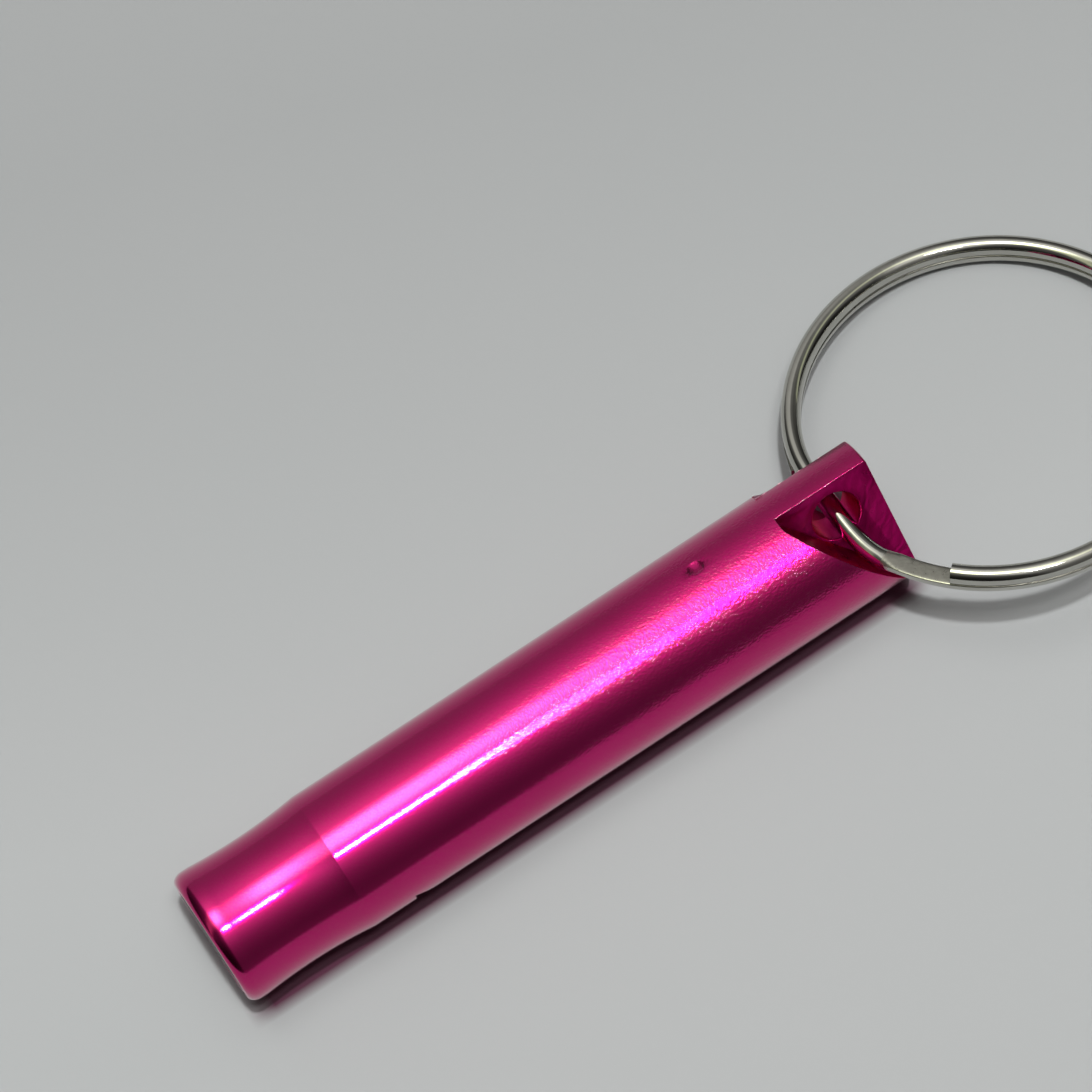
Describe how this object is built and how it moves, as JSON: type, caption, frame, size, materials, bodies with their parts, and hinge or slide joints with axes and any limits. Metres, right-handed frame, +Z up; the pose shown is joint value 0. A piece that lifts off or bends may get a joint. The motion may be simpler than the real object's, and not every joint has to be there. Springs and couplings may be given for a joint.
{
  "type": "training whistle",
  "caption": "Slim tube whistle with a side window, a shallow mouthpiece waist, a flattened tail and a split ring that swings in its hole.",
  "frame": {"origin": "centre of the mouth end face, on the tube's axis", "axes": "+X along the tube from the mouth to the tail, +Z up as the whistle lies on a table"},
  "size_m": [0.0684, 0.0246, 0.009],
  "materials": {
    "anodised_aluminium": "magenta-pink anodised, satin gloss",
    "plug_plastic": "moulded black, satin",
    "nickel_steel": "bright nickel plate on spring steel wire"
  },
  "bodies": {
    "whistle": {"whistle_body": "anodised_aluminium", "fipple_plug": "plug_plastic"},
    "ring": {"split_ring": "nickel_steel"}
  },
  "joints": [
    {"name": "ring_swing", "type": "hinge", "parent": "whistle", "child": "ring", "pos_m": [0.04444, 0.00123, 0.00158], "axis": [-0.0283, 0.9703, -0.2402], "range_deg": [-165, 25]}
  ]
}
